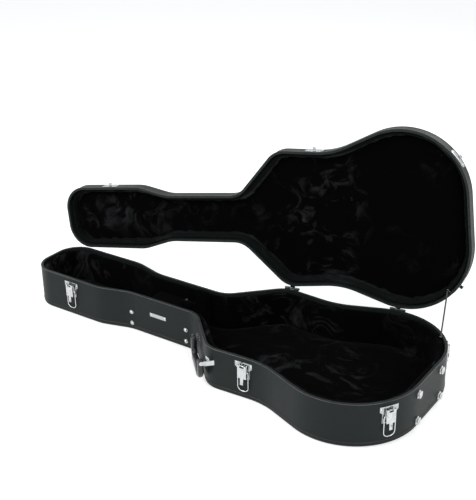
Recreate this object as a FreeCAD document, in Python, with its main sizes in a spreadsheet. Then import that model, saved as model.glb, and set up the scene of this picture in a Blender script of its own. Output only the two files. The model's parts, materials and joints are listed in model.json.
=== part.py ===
import FreeCAD, Part
import math
import os
import Sketcher
from FreeCAD import Placement, Rotation, Vector

# Hard-shell guitar case, lying on its back with the lid open.
# Frame: +Z up, floor at z = 0, X along the case with the lower bout end at +X and the
# headstock end at -X.  The handle and latches are on the -Y side, the hinges on +Y.
# Distances "round the wall" start at the middle of the lower bout end.
# Every lid piece is drawn closed and then turned open about the hinge line.

os.makedirs("parts", exist_ok=True)
doc = FreeCAD.newDocument("guitar_case")
sheet = doc.addObject("Spreadsheet::Sheet", "Sizes")

SIZES = [
    # outline, seen from above
    ("case_length", 1106), ("lower_bout_half", 217), ("lower_bout_radius", 159),
    ("waist_station", 351), ("waist_half", 167), ("waist_radius", 180),
    ("upper_bout_station", 444), ("upper_bout_half", 172), ("upper_bout_radius", 60),
    ("shoulder_station", 604), ("neck_half", 61), ("shoulder_radius", 60),
    ("flare_start_station", 771), ("flare_end_station", 886), ("flare_radius", 120),
    ("head_half", 84), ("head_radius", 62),
    # shells
    ("base_depth", 106), ("lid_depth", 42), ("seam_gap", 0.4),
    ("wall_thickness", 6), ("panel_thickness", 6), ("panel_rim", 12),
    ("base_edge_radius", 6), ("lid_edge_radius", 10), ("lid_open_angle", 96),
    # padding
    ("seat_gap", 0.2), ("base_pad_thickness", 14), ("base_pad_drop", 3), ("floor_pad_thickness", 16),
    ("lid_pad_thickness", 8), ("lid_pad_recess", 9), ("lid_panel_pad_thickness", 10),
    # neck support and accessory compartment
    ("support_station", 610), ("support_length", 34), ("support_side_gap", 0.4),
    ("support_rise", 8), ("notch_radius", 27), ("notch_floor_height", 62), ("horn_radius", 5.5),
    ("board_thickness", 5), ("compartment_length", 124), ("compartment_height", 66),
    ("compartment_lid_thickness", 4), ("compartment_lid_gap", 0.3), ("compartment_side_gap", 1),
    ("tab_width", 16), ("tab_length", 24), ("tab_thickness", 1.2), ("tab_inset", 12),
    # sheet-metal hardware on the wall
    ("metal_gap", 0.05), ("metal_thickness", 1.2), ("rivet_radius", 2.6), ("rivet_height", 1.1),
    ("rivet_gap", 0.03),
    # latches; heights are measured from the seam, up is positive
    ("waist_latch_place", 525.5), ("bout_latch_place", 148.5), ("rear_latch_place", 166),
    ("head_latch_place", 1164),
    ("latch_flange_half", 22), ("latch_leg_half", 16.5), ("latch_top", -11),
    ("latch_shoulder", -23), ("latch_taper", 5), ("latch_foot", -51),
    ("lever_pin_height", -18), ("lever_pin_standoff", 6.5), ("lever_pin_radius", 1.5),
    ("pin_clearance", 0.1), ("ear_inner_half", 3), ("ear_thickness", 1.2), ("ear_head_radius", 2.4),
    ("lever_half", 11), ("lever_sheet", 1.2), ("lever_face", 8.6), ("lever_overhang", 2.5),
    ("lever_foot", -48), ("tab_half", 4), ("tab_foot", -64), ("lever_slot_half", 5.4),
    ("lever_slot_depth", 6), ("loop_pivot_drop", 15), ("loop_pivot_standoff", 4.2),
    ("loop_cheek_radius", 2.2), ("loop_half", 13.4), ("loop_reach", 50), ("loop_corner", 11),
    ("wire_radius", 1.2), ("loop_end_inset", 4.2), ("loop_bend", 2), ("hook_standoff", 5.9),
    ("catch_half", 23), ("catch_low", 5), ("catch_high", 25), ("hook_half", 4),
    ("hook_clearance", 0.35), ("hook_sheet", 1.4), ("hook_lip_rise", 3.6),
    # hinges
    ("hinge_standoff", 4), ("head_clearance", 1.2), ("hinge_pin_radius", 1.6), ("knuckle_radius", 2.9),
    ("knuckle_length", 12), ("knuckle_gap", 0.3), ("leaf_half", 26), ("leaf_height", 30),
    ("leaf_relief", 4), ("hinge_head_radius", 2.5), ("hinge_head_length", 1),
    # handle
    ("handle_centre", 24), ("handle_half", 54), ("handle_standoff", 14), ("handle_height", 70),
    ("handle_leg_half", 8.5), ("handle_thick_half", 7), ("handle_reach", 40.5), ("handle_bend", 20),
    ("handle_heel", 7),
    ("grip_half", 38), ("grip_extra", 1.2), ("grip_swell", 5), ("bracket_sheet", 2),
    ("bracket_half", 6), ("bracket_eye", 4.5), ("bracket_gap", 0.4), ("handle_pin_radius", 2.6),
    ("handle_pin_depth", 13), ("bracket_foot", 24), ("bracket_rivet_shift", 6),
    # feet, studs and plate
    ("foot_washer_radius", 9.5), ("foot_neck_radius", 5), ("foot_neck_height", 4.6),
    ("foot_head_radius", 8.8), ("foot_rim", 1.4), ("foot_height", 8), ("foot_spread", 57),
    ("foot_low", 18), ("foot_high", 84),
    ("stud_radius", 5.5), ("stud_height", 4.5), ("stud_gap", 0.15),
    ("shoulder_stud_place", 809), ("neck_stud_place", 980),
    ("stud_low", 20), ("stud_high", 51), ("plate_place", 895), ("plate_half", 25),
    ("plate_half_height", 5), ("plate_height", 62),
    # lid stay
    ("base_stay_place", 165), ("lid_stay_place", 190), ("stay_boss_radius", 3.6),
    ("stay_boss_length", 4.5), ("base_stay_inset", 11), ("lid_stay_height", 4.3), ("lid_stay_reach", 7),
    ("stay_stem_radius", 1.8), ("stay_radius", 2),
]
for row, (alias, number) in enumerate(SIZES, 1):
    sheet.set("A%d" % row, alias)
    sheet.set("B%d" % row, str(number))
    sheet.setAlias("B%d" % row, alias)
doc.recompute()


def size(alias):
    """A driving dimension, read from the sheet."""
    return float(sheet.get(alias))


def cells(text):
    """An expression in which every driving dimension is looked up on the sheet."""
    names = sorted((alias for alias, _ in SIZES), key=len, reverse=True)
    words = []
    word = ""
    for letter in text + " ":
        if letter.isalnum() or letter == "_":
            word += letter
            continue
        words.append("Sizes." + word if word in names else word)
        words.append(letter)
        word = ""
    return "".join(words).strip()


# ---------------------------------------------------------------- the outline
FLARE_SHARE = 0.97


def bends():
    """Round stretches of the handle-side outline: station, centre offset, signed radius."""
    length = size("case_length")
    bout, waist, upper = size("lower_bout_radius"), size("waist_radius"), size("upper_bout_radius")
    shoulder, head = size("shoulder_radius"), size("head_radius")
    reach = size("flare_end_station") - size("flare_start_station")
    widening = size("head_half") - size("neck_half")
    # Two equal flares meet only up to this radius, so a wider end gets tighter flares.
    tightest = (reach ** 2 + widening ** 2) / (4 * widening)
    flare = min(size("flare_radius"), FLARE_SHARE * tightest)
    return [
        (bout, size("lower_bout_half") - bout, bout),
        (size("waist_station"), size("waist_half") + waist, -waist),
        (size("upper_bout_station"), size("upper_bout_half") - upper, upper),
        (size("shoulder_station"), size("neck_half") + shoulder, -shoulder),
        (size("flare_start_station"), size("neck_half") + flare, -flare),
        (size("flare_end_station"), size("head_half") - flare, flare),
        (length - head, size("head_half") - head, head),
    ]


def tangent_angle(first, second):
    """Direction of the outward normal of the line that touches two bends."""
    along, across = second[0] - first[0], second[1] - first[1]
    lean = math.acos((first[2] - second[2]) / math.hypot(along, across))
    return math.atan2(across, along) + lean


def turns():
    """Normal angles at which each bend starts and ends, in the outline's half plane."""
    chain = bends()
    return [math.pi] + [tangent_angle(a, b) for a, b in zip(chain, chain[1:])] + [0.0]


def on_bend(bend, angle, inset=0.0):
    """Station and half width of a bend's point, the wall moved inwards by inset."""
    radius = bend[2] - inset
    return bend[0] + radius * math.cos(angle), bend[1] + radius * math.sin(angle)


def to_world(point, side):
    """Station and half width to X and Y; side is -1 at the handle and +1 at the hinges."""
    return Vector(size("case_length") / 2 - point[0], side * point[1], 0)


def outline_wire(inset):
    """The closed outline at z = 0: arcs of the bends joined by their tangent lines."""
    angles = turns()
    arcs = []
    for bend, start, stop in zip(bends(), angles, angles[1:]):
        arcs.append([on_bend(bend, a, inset) for a in (start, (start + stop) / 2, stop)])
    strokes = []
    for side in (-1, 1):
        ordered = arcs if side < 0 else [arc[::-1] for arc in arcs[::-1]]
        strokes += [[to_world(point, side) for point in arc] for arc in ordered]
    edges = []
    for stroke, following in zip(strokes, strokes[1:] + strokes[:1]):
        edges.append(Part.Arc(*stroke).toShape())
        edges.append(Part.LineSegment(stroke[-1], following[0]).toShape())
    return Part.Wire(edges)


def wall_spot(place):
    """Station, half width and normal angle at a distance round the wall."""
    chain = bends()
    angles = turns()
    flat = chain[0][1]
    if place <= flat:
        return 0.0, place, math.pi
    left = place - flat
    for index, bend in enumerate(chain):
        arc = abs(bend[2] * (angles[index] - angles[index + 1]))
        if left <= arc:
            angle = angles[index] - left / bend[2]
            return on_bend(bend, angle) + (angle,)
        left -= arc
        start = on_bend(bend, angles[index + 1])
        stop = on_bend(chain[index + 1], angles[index + 1])
        line = math.dist(start, stop)
        if left <= line:
            share = left / line
            return (start[0] + (stop[0] - start[0]) * share,
                    start[1] + (stop[1] - start[1]) * share, angles[index + 1])
        left -= line
    raise ValueError("the wall ends before that place")


def frame_at(point, angle, side, height, standoff):
    """A frame on the wall: x along it, y straight out of it, z up."""
    out = Vector(-math.cos(angle), side * math.sin(angle), 0)
    base = to_world(point, side) + out * standoff
    base.z = height
    turn = math.degrees(math.atan2(out.y, out.x)) - 90
    return Placement(base, Rotation(Vector(0, 0, 1), turn))


def wall_frame(side, place, height, standoff=0.0):
    """The frame at a distance round the wall."""
    station, half, angle = wall_spot(place)
    return frame_at((station, half), angle, side, height, standoff)


def place_on(index, angle):
    """Distance round the wall to the point of a bend that faces along an angle."""
    chain = bends()
    angles = turns()
    place = chain[0][1]
    for before in range(index):
        place += abs(chain[before][2] * (angles[before] - angles[before + 1]))
        place += math.dist(on_bend(chain[before], angles[before + 1]),
                           on_bend(chain[before + 1], angles[before + 1]))
    return place + abs(chain[index][2] * (angles[index] - angle))


def grown(bend, margin):
    """A bend moved outwards by a margin."""
    return (bend[0], bend[1], bend[2] + margin)


# The hinge line clears the lower bout and the upper bout by the hinge standoff,
# and the wide end of the neck by a smaller margin, so no wall swings into another.
LOWER_BOUT, UPPER_BOUT, HEAD = 0, 2, 6
lower = grown(bends()[LOWER_BOUT], size("hinge_standoff"))
hinge_angle = max(tangent_angle(lower, grown(bends()[UPPER_BOUT], size("hinge_standoff"))),
                  tangent_angle(lower, grown(bends()[HEAD], size("head_clearance"))))


def hinge_gap(index):
    """Distance from a bend's outermost point to the hinge line."""
    def reach(bend):
        return bend[0] * math.cos(hinge_angle) + bend[1] * math.sin(hinge_angle) + bend[2]
    return reach(lower) - reach(bends()[index])


hinge_gaps = [hinge_gap(index) for index in (LOWER_BOUT, UPPER_BOUT)]
hinge_line = [frame_at(on_bend(bends()[index], hinge_angle), hinge_angle, 1, size("base_depth"), gap)
              for index, gap in zip((LOWER_BOUT, UPPER_BOUT), hinge_gaps)]
hinge_axis = (hinge_line[0].Base - hinge_line[1].Base).normalize()
lid_open = Placement(Vector(), Rotation(hinge_axis, -size("lid_open_angle")), hinge_line[0].Base)


def tell(joint, point, axis):
    """Print a joint's point and axis, as the record gives them."""
    print("joint %s at %.6f %.6f %.6f along %.8f %.8f %.8f" % ((joint,) + tuple(point) + tuple(axis)))


tell("lid_swing", hinge_line[0].Base, hinge_axis * -1)


# ---------------------------------------------------------------- building blocks
def new(kind, name):
    return doc.addObject(kind, name)


def bound(item, **expressions):
    """Bind properties to the sheet and return the object."""
    for prop, text in expressions.items():
        item.setExpression(prop, cells(text))
    return item


def prism(name, inset, low, height):
    """The case outline, moved inwards by inset and raised into a solid."""
    outline = new("Part::Feature", name + "_outline")
    outline.Shape = outline_wire(inset)
    solid = new("Part::Extrusion", name)
    solid.Base = outline
    solid.DirMode = "Custom"
    solid.Dir = Vector(0, 0, 1)
    solid.Solid = True
    bound(solid, LengthFwd=height)
    solid.setExpression("Placement.Base.z", cells(low))
    return solid


def cut(name, base, tool):
    item = new("Part::Cut", name)
    item.Base = base
    item.Tool = tool
    return item


def fuse(name, items):
    item = new("Part::MultiFuse", name)
    item.Shapes = items
    return item


def common(name, items):
    item = new("Part::MultiCommon", name)
    item.Shapes = items
    return item


def group(name, items):
    """Separate solids that share one node."""
    item = new("Part::Compound", name)
    item.Links = items
    return item


def box(name, place, x, y, z):
    """A block in a frame; x, y and z are pairs of expressions, lowest first."""
    item = new("Part::Box", name)
    bound(item, Length="(%s) - (%s)" % (x[1], x[0]), Width="(%s) - (%s)" % (y[1], y[0]),
          Height="(%s) - (%s)" % (z[1], z[0]))
    corner = Vector(*[number(pair[0]) for pair in (x, y, z)])
    item.Placement = place.multiply(Placement(corner, Rotation()))
    return item


def number(text):
    """The value of an expression of driving dimensions."""
    values = {alias: size(alias) for alias, _ in SIZES}
    return FreeCAD.Units.parseQuantity(fill_in(text, values)).Value


def fill_in(text, values):
    for alias in sorted(values, key=len, reverse=True):
        text = text.replace(alias, "(%.9f)" % values[alias])
    return text


def rod(name, place, radius, start, length, along="x"):
    """A round bar in a frame, along its x, y or z axis from a start point."""
    item = new("Part::Cylinder", name)
    bound(item, Radius=radius, Height=length)
    turn = {"x": Rotation(Vector(0, 1, 0), 90), "y": Rotation(Vector(1, 0, 0), -90),
            "z": Rotation()}[along]
    corner = Vector(*[number(part) for part in start])
    item.Placement = place.multiply(Placement(corner, turn))
    return item


def sketch_on(item, points):
    """A closed polygon whose corners are driven by pairs of expressions."""
    corners = [Vector(number(a), number(b), 0) for a, b in points]
    count = len(corners)
    for index, corner in enumerate(corners):
        item.addGeometry(Part.LineSegment(corner, corners[(index + 1) % count]))
    for index in range(count):
        item.addConstraint(Sketcher.Constraint("Coincident", index, 2, (index + 1) % count, 1))
    for index, (corner, pair) in enumerate(zip(corners, points)):
        for kind, amount, text in (("DistanceX", corner.x, pair[0]), ("DistanceY", corner.y, pair[1])):
            which = item.addConstraint(Sketcher.Constraint(kind, -1, 1, index, 1, amount))
            item.setExpression("Constraints[%d]" % which, cells(text))
    return item


def plate(name, place, points, low, high):
    """A polygon in a frame's x-z plane, thick from low to high along y."""
    outline = sketch_on(new("Sketcher::SketchObject", name + "_sketch"), points)
    outline.Placement = Placement(Vector(0, number(low), 0), Rotation(Vector(1, 0, 0), 90))
    solid = new("Part::Extrusion", name)
    solid.Base = outline
    solid.DirMode = "Custom"
    solid.Dir = Vector(0, 1, 0)
    solid.Solid = True
    bound(solid, LengthFwd="(%s) - (%s)" % (high, low))
    solid.Placement = place
    return solid


def dome(name, place, radius, height):
    """A shallow dome whose flat side lies on the frame's x-z plane, bulging along y."""
    item = new("Part::Sphere", name)
    ball = "((%s)^2 + (%s)^2) / (2 * (%s))" % (radius, height, height)
    bound(item, Radius=ball, Angle1="asin(1 - (%s) / (%s))" % (height, ball))
    sunk = Vector(0, number(height) - number(ball), 0)
    item.Placement = place.multiply(Placement(sunk, Rotation(Vector(1, 0, 0), -90)))
    return item


def plane_sketch(body, role, name, points, offset="0"):
    """A polygon sketch on one of the body's own planes."""
    item = body.newObject("Sketcher::SketchObject", name)
    plane = [part for part in body.Origin.OriginFeatures if part.Role == role][0]
    item.AttachmentSupport = [(plane, "")]
    item.MapMode = "FlatFace"
    item.setExpression("AttachmentOffset.Base.z", cells(offset))
    return sketch_on(item, points)


def ring_sketch(body, role, name, centre, radius):
    """A circle sketch on one of the body's own planes."""
    item = body.newObject("Sketcher::SketchObject", name)
    plane = [part for part in body.Origin.OriginFeatures if part.Role == role][0]
    item.AttachmentSupport = [(plane, "")]
    item.MapMode = "FlatFace"
    middle = Vector(number(centre[0]), number(centre[1]), 0)
    item.addGeometry(Part.Circle(middle, Vector(0, 0, 1), number(radius)))
    rules = (("DistanceX", middle.x, centre[0]), ("DistanceY", middle.y, centre[1]))
    for kind, amount, text in rules:
        which = item.addConstraint(Sketcher.Constraint(kind, -1, 1, 0, 3, amount))
        item.setExpression("Constraints[%d]" % which, cells(text))
    which = item.addConstraint(Sketcher.Constraint("Radius", 0, number(radius)))
    item.setExpression("Constraints[%d]" % which, cells(radius))
    return item


def both_ways(body, kind, name, profile, length):
    """A pad or pocket of a sketch, half its length to each side of the sketch."""
    item = body.newObject("PartDesign::" + kind, name)
    item.Profile = profile
    if hasattr(item, "SideType"):
        item.SideType = "Symmetric"
    else:
        item.Midplane = True
    item.Type = "Length"
    bound(item, Length=length)
    body.Tip = item
    return item


nodes = {}


def keep(item, label, place=None):
    """Give a finished sub-part its name and, for a lid piece, its open place."""
    item.Label = label
    if place is not None:
        item.Placement = place.multiply(item.Placement)
    nodes[label] = item
    return item


# ---------------------------------------------------------------- base shell and lid shell
world = Placement()


def shell(name, height, rim_low, rim_height, floor_low, edge_low, edge_radius):
    """A panel with a turned rim, its outer corner rounded."""
    block = prism(name + "_block", 0, rim_low, rim_height)
    doc.recompute()
    edges = [(index, size(edge_radius), size(edge_radius))
             for index, edge in enumerate(block.Shape.Edges, 1)
             if abs(edge.BoundBox.ZMin - edge_low) < 0.001 and abs(edge.BoundBox.ZMax - edge_low) < 0.001]
    rounded = new("Part::Fillet", name + "_rounded")
    rounded.Base = block
    rounded.Edges = edges
    hollow = prism(name + "_hollow", size("wall_thickness"), floor_low, height)
    return cut(name, rounded, hollow)


def ring(name, outer_inset, inner_inset, low, height):
    """A band that follows the outline between two insets."""
    return cut(name, prism(name + "_outer", outer_inset, low, height),
               prism(name + "_inner", inner_inset, low, height))


wall_in = size("wall_thickness")
pad_out = wall_in + size("seat_gap")
base_pad_in = pad_out + size("base_pad_thickness")
lid_pad_in = pad_out + size("lid_pad_thickness")
lid_top = size("base_depth") + size("lid_depth")

keep(shell("base_panel", "panel_rim", "0", "panel_rim", "panel_thickness", 0.0,
           "base_edge_radius"), "base_panel")
keep(ring("base_wall", 0, wall_in, "panel_rim", "base_depth - panel_rim"), "base_wall")
keep(ring("base_wall_padding", pad_out, base_pad_in, "panel_thickness + seat_gap",
          "base_depth - base_pad_drop - panel_thickness - seat_gap"), "base_wall_padding")
keep(prism("base_floor_padding", base_pad_in + size("seat_gap"), "panel_thickness + seat_gap",
           "floor_pad_thickness"), "base_floor_padding")

keep(shell("lid_panel", "panel_rim - panel_thickness", "base_depth + lid_depth - panel_rim",
           "panel_rim", "base_depth + lid_depth - panel_rim", lid_top, "lid_edge_radius"),
     "lid_panel", lid_open)
keep(ring("lid_wall", 0, wall_in, "base_depth + seam_gap", "lid_depth - panel_rim - seam_gap"),
     "lid_wall", lid_open)
keep(ring("lid_wall_padding", pad_out, lid_pad_in, "base_depth + lid_pad_recess",
          "lid_depth - lid_pad_recess - panel_thickness - seat_gap"), "lid_wall_padding", lid_open)
keep(group("lid_panel_quilt", [prism(
    "lid_panel_pad", lid_pad_in + size("seat_gap"),
    "base_depth + lid_depth - panel_thickness - seat_gap - lid_panel_pad_thickness",
    "lid_panel_pad_thickness")]), "lid_panel_padding", lid_open)

# The solid case with its seat clearance, and the skin of sheet metal that lies on it.
case_body = prism("case_body", -size("metal_gap"), "0", "base_depth + lid_depth")
metal_skin = cut("metal_skin", prism("metal_outer", -size("metal_gap") - size("metal_thickness"),
                                     "0", "base_depth + lid_depth"),
                 prism("metal_inner", -size("metal_gap"), "0", "base_depth + lid_depth"))

# ---------------------------------------------------------------- neck support and compartment
channel_half = "neck_half - wall_thickness - seat_gap - base_pad_thickness - support_side_gap"
pad_top = "panel_thickness + seat_gap + floor_pad_thickness + seat_gap"


def station_frame(station):
    """A frame on the centre line: x towards the lower bout end, at a station."""
    return Placement(Vector(size("case_length") / 2 - number(station), 0, 0), Rotation())


support_end = station_frame("support_station + support_length")
support_block = box("support_block", support_end, ("0", "support_length"),
                    ("-(%s)" % channel_half, channel_half), (pad_top, "base_depth + support_rise"))
notch_round = rod("notch_round", support_end, "notch_radius",
                  ("-1", "0", "notch_floor_height + notch_radius"), "support_length + 2")
notch_open = box("notch_open", support_end, ("-1", "support_length + 1"),
                 ("-notch_radius", "notch_radius"),
                 ("notch_floor_height + notch_radius", "base_depth + support_rise + 1"))
notched = cut("support_notched", support_block, fuse("support_notch", [notch_round, notch_open]))
doc.recompute()
top_height = number("base_depth + support_rise")
horn_edges = [(index, size("horn_radius"), size("horn_radius"))
              for index, edge in enumerate(notched.Shape.Edges, 1)
              if abs(edge.BoundBox.ZMin - top_height) < 0.001
              and edge.BoundBox.XLength > number("support_length") - 0.01]
horns = new("Part::Fillet", "support_rounded")
horns.Base = notched
horns.Edges = horn_edges
keep(horns, "neck_support")

board_top = ("%s" % pad_top, "compartment_height - compartment_lid_gap")
across = ("-(%s)" % channel_half, channel_half)
front_board_frame = station_frame("support_station + support_length + seat_gap + board_thickness")
keep(box("front_board", front_board_frame, ("0", "board_thickness"), across, board_top),
     "compartment_front_board")
rear_board_frame = station_frame("support_station + support_length + seat_gap + compartment_length")
keep(box("rear_board", rear_board_frame, ("0", "board_thickness"), across, board_top),
     "compartment_rear_board")
cover_across = ("-(%s - compartment_side_gap)" % channel_half,
                "(%s - compartment_side_gap)" % channel_half)
keep(box("cover", rear_board_frame, ("0", "compartment_length - compartment_side_gap"), cover_across,
         ("compartment_height", "compartment_height + compartment_lid_thickness")),
     "compartment_lid")
tell("compartment_swing", rear_board_frame.multVec(
    Vector(0, 0, number("compartment_height + compartment_lid_thickness"))), Vector(0, -1, 0))
tab_at = "compartment_length - compartment_side_gap - tab_inset"
keep(box("tab", rear_board_frame, ("%s - tab_thickness" % tab_at, tab_at),
         ("-tab_width / 2", "tab_width / 2"),
         ("compartment_height + compartment_lid_thickness + seat_gap",
          "compartment_height + compartment_lid_thickness + seat_gap + tab_length")), "compartment_tab")


# ---------------------------------------------------------------- rivets
def rivets(label, spots, place=None):
    """Domed rivet heads on sheet metal, in one node; spots are side, distance, height."""
    face = size("metal_gap") + size("metal_thickness") + size("rivet_gap")
    heads = [dome("%s_%d" % (label, index), wall_frame(side, at, height, face),
                  "rivet_radius", "rivet_height")
             for index, (side, at, height) in enumerate(spots, 1)]
    keep(group(label, heads), label, place)


# ---------------------------------------------------------------- latches
LATCHES = [(-1, "head_latch_place"), (-1, "waist_latch_place"), (-1, "bout_latch_place"),
           (1, "rear_latch_place")]
loop_height = "(lever_pin_height - loop_pivot_drop)"
bar_height = "(%s + loop_reach)" % loop_height
saddle = "(%s - wire_radius - hook_clearance)" % bar_height
lip = "(hook_standoff + wire_radius + hook_clearance)"
lever_top = "(lever_pin_height + lever_overhang)"
# A window this deep each way cuts a piece out of the curved metal skin.
window_depth = "5 * metal_thickness"


def latch_plate(k, seam):
    """The riveted plate with its two ears for the lever pin."""
    outline = [("-latch_flange_half", "latch_top"), ("-latch_flange_half", "latch_shoulder"),
               ("-latch_leg_half", "latch_shoulder - latch_taper"), ("-latch_leg_half", "latch_foot"),
               ("latch_leg_half", "latch_foot"), ("latch_leg_half", "latch_shoulder - latch_taper"),
               ("latch_flange_half", "latch_shoulder"), ("latch_flange_half", "latch_top")]
    window = plate("latch_window_%d" % k, seam, outline, "-" + window_depth, window_depth)
    pieces = [common("latch_sheet_%d" % k, [metal_skin, window])]
    for index, low in enumerate(("-ear_inner_half - ear_thickness", "ear_inner_half")):
        pieces.append(box("ear_%d_%d" % (k, index), seam, (low, low + " + ear_thickness"),
                          ("metal_thickness / 2", "lever_pin_standoff"),
                          ("lever_pin_height - ear_head_radius", "lever_pin_height + ear_head_radius")))
        pieces.append(rod("ear_head_%d_%d" % (k, index), seam, "ear_head_radius",
                          (low, "lever_pin_standoff", "lever_pin_height"), "ear_thickness"))
    bore = rod("ear_bore_%d" % k, seam, "lever_pin_radius + pin_clearance",
               ("-lever_half", "lever_pin_standoff", "lever_pin_height"), "2 * lever_half")
    return cut("latch_plate_%d" % k, fuse("latch_solid_%d" % k, pieces), bore)


def latch_lever(k, seam):
    """The pressed lever: a flap with two cheeks, a slot for the ears and a finger tab."""
    body = new("PartDesign::Body", "lever_body_%d" % k)
    past_top, past_foot = lever_top + " + lever_sheet", "lever_foot - lever_sheet"
    side = [("lever_face + lever_sheet", lever_top), ("lever_face + lever_sheet", "lever_foot"),
            ("lever_face", "lever_foot"), ("lever_face", loop_height + " - 2 * loop_cheek_radius"),
            ("loop_pivot_standoff", loop_height + " - loop_cheek_radius"),
            ("loop_pivot_standoff - loop_cheek_radius", loop_height),
            ("loop_pivot_standoff - loop_cheek_radius", loop_height + " + loop_cheek_radius"),
            ("lever_pin_standoff - ear_head_radius", "lever_pin_height - ear_head_radius"),
            ("lever_pin_standoff - ear_head_radius", lever_top)]
    both_ways(body, "Pad", "lever_block_%d" % k,
              plane_sketch(body, "YZ_Plane", "lever_side_%d" % k, side), "2 * lever_half")
    inside = [("-lever_face", past_top), ("lever_face", past_top),
              ("lever_face", past_foot), ("-lever_face", past_foot)]
    both_ways(body, "Pocket", "lever_inside_%d" % k,
              plane_sketch(body, "YZ_Plane", "lever_hollow_%d" % k, inside),
              "2 * (lever_half - lever_sheet)")
    slot = [("-lever_slot_half", past_top), ("lever_slot_half", past_top),
            ("lever_slot_half", lever_top + " - lever_slot_depth"),
            ("-lever_slot_half", lever_top + " - lever_slot_depth")]
    both_ways(body, "Pocket", "lever_slot_%d" % k,
              plane_sketch(body, "XZ_Plane", "lever_slot_shape_%d" % k, slot), "4 * lever_face")
    tab = [("lever_face", "lever_foot + 1"), ("lever_face + lever_sheet", "lever_foot + 1"),
           ("lever_face + 2 * lever_sheet", "tab_foot"), ("lever_face + lever_sheet", "tab_foot")]
    both_ways(body, "Pad", "lever_tab_%d" % k,
              plane_sketch(body, "YZ_Plane", "lever_tab_side_%d" % k, tab), "2 * tab_half")
    both_ways(body, "Pocket", "lever_bore_%d" % k,
              ring_sketch(body, "YZ_Plane", "lever_bore_ring_%d" % k,
                          ("lever_pin_standoff", "lever_pin_height"),
                          "lever_pin_radius + pin_clearance"), "2 * lever_half + 2")
    both_ways(body, "Pocket", "loop_bore_%d" % k,
              ring_sketch(body, "YZ_Plane", "loop_bore_ring_%d" % k,
                          ("loop_pivot_standoff", loop_height), "wire_radius + pin_clearance"),
              "2 * lever_half + 2")
    body.Placement = seam
    return body


def rounded_path(points, radii, depth):
    """Straight runs joined by tangent arcs, in the x-z plane at a depth along y."""
    edges = []
    start = Vector(*points[0])
    for before, corner, after, radius in zip(points, points[1:], points[2:], radii):
        here = Vector(*corner)
        into = (here - Vector(*before)).normalize()
        away = (Vector(*after) - here).normalize()
        half_turn = into.getAngle(away) / 2
        first = here - into * radius * math.tan(half_turn)
        last = here + away * radius * math.tan(half_turn)
        centre = here + (away - into).normalize() * radius / math.cos(half_turn)
        middle = centre + (here - centre).normalize() * radius
        edges.append(Part.LineSegment(start, first).toShape())
        edges.append(Part.Arc(first, middle, last).toShape())
        start = last
    edges.append(Part.LineSegment(start, Vector(*points[-1])).toShape())
    wire = Part.Wire(edges)
    wire.translate(Vector(0, depth, 0))
    return wire


def latch_loop(k, seam):
    """The wire loop: two ends turned into the lever's cheeks and a squared far end."""
    top, low = number(loop_height), number(loop_height + " - loop_reach")
    half, end = size("loop_half"), size("loop_half") - size("loop_end_inset")
    corners = [(end, 0, top), (half, 0, top), (half, 0, low), (-half, 0, low), (-half, 0, top),
               (-end, 0, top)]
    radii = [size("loop_bend"), size("loop_corner"), size("loop_corner"), size("loop_bend")]
    path = new("Part::Feature", "loop_path_%d" % k)
    path.Shape = rounded_path(corners, radii, size("loop_pivot_standoff"))
    section = new("Part::Circle", "loop_section_%d" % k)
    bound(section, Radius="wire_radius")
    section.Placement = Placement(Vector(end, size("loop_pivot_standoff"), top),
                                  Rotation(Vector(0, 1, 0), 90))
    sweep = new("Part::Sweep", "latch_loop_%d" % k)
    sweep.Sections = [section]
    sweep.Spine = (path, ["Edge%d" % (i + 1) for i in range(len(path.Shape.Edges))])
    sweep.Solid = True
    sweep.Placement = seam
    return sweep


def catch(k, seam):
    """The catch on the lid: a riveted plate with a hook that holds the loop's bar."""
    bevel = "metal_thickness * 3"
    outline = [("-catch_half", "catch_low + %s" % bevel), ("-catch_half + %s" % bevel, "catch_low"),
               ("catch_half - %s" % bevel, "catch_low"), ("catch_half", "catch_low + %s" % bevel),
               ("catch_half", "catch_high - %s" % bevel), ("catch_half - %s" % bevel, "catch_high"),
               ("-catch_half + %s" % bevel, "catch_high"), ("-catch_half", "catch_high - %s" % bevel)]
    window = plate("catch_window_%d" % k, seam, outline, "-" + window_depth, window_depth)
    across_hook = ("-hook_half", "hook_half")
    pieces = [common("catch_sheet_%d" % k, [metal_skin, window]),
              box("hook_saddle_%d" % k, seam, across_hook, ("metal_thickness / 2", lip),
                  (saddle + " - hook_sheet", saddle)),
              box("hook_lip_%d" % k, seam, across_hook, (lip, lip + " + hook_sheet"),
                  (saddle + " - hook_sheet", saddle + " + hook_lip_rise"))]
    return fuse("lid_catch_%d" % k, pieces)


latch_spots = []
catch_spots = []
for k, (side, place) in enumerate(LATCHES, 1):
    seam = wall_frame(side, size(place), size("base_depth"))
    wall_line = seam.Rotation.multVec(Vector(1, 0, 0))
    tell("latch_lever_%d" % k, seam.multVec(Vector(0, size("lever_pin_standoff"),
                                                   size("lever_pin_height"))), wall_line)
    tell("latch_loop_%d" % k, seam.multVec(Vector(0, size("loop_pivot_standoff"),
                                                  number(loop_height))), wall_line * -1)
    keep(latch_plate(k, seam), "latch_plate_%d" % k)
    keep(rod("lever_pin_%d" % k, seam, "lever_pin_radius",
             ("-lever_half - lever_sheet / 2", "lever_pin_standoff", "lever_pin_height"),
             "2 * lever_half + lever_sheet"), "lever_pin_%d" % k)
    keep(latch_lever(k, seam), "latch_lever_%d" % k)
    keep(latch_loop(k, seam), "latch_loop_%d" % k)
    keep(catch(k, seam), "lid_catch_%d" % k, lid_open)
    flange = (size("latch_flange_half") + size("loop_half") + size("wire_radius")) / 2
    for shift in (-flange, flange):
        latch_spots.append((side, size(place) + shift,
                            size("base_depth") + (size("latch_top") + size("latch_shoulder")) / 2))
        catch_spots.append((side, size(place) + shift,
                            size("base_depth") + (size("catch_low") + size("catch_high")) / 2))
    latch_spots.append((side, size(place), size("base_depth") + size("latch_foot")
                        + 2 * size("rivet_radius")))
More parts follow.
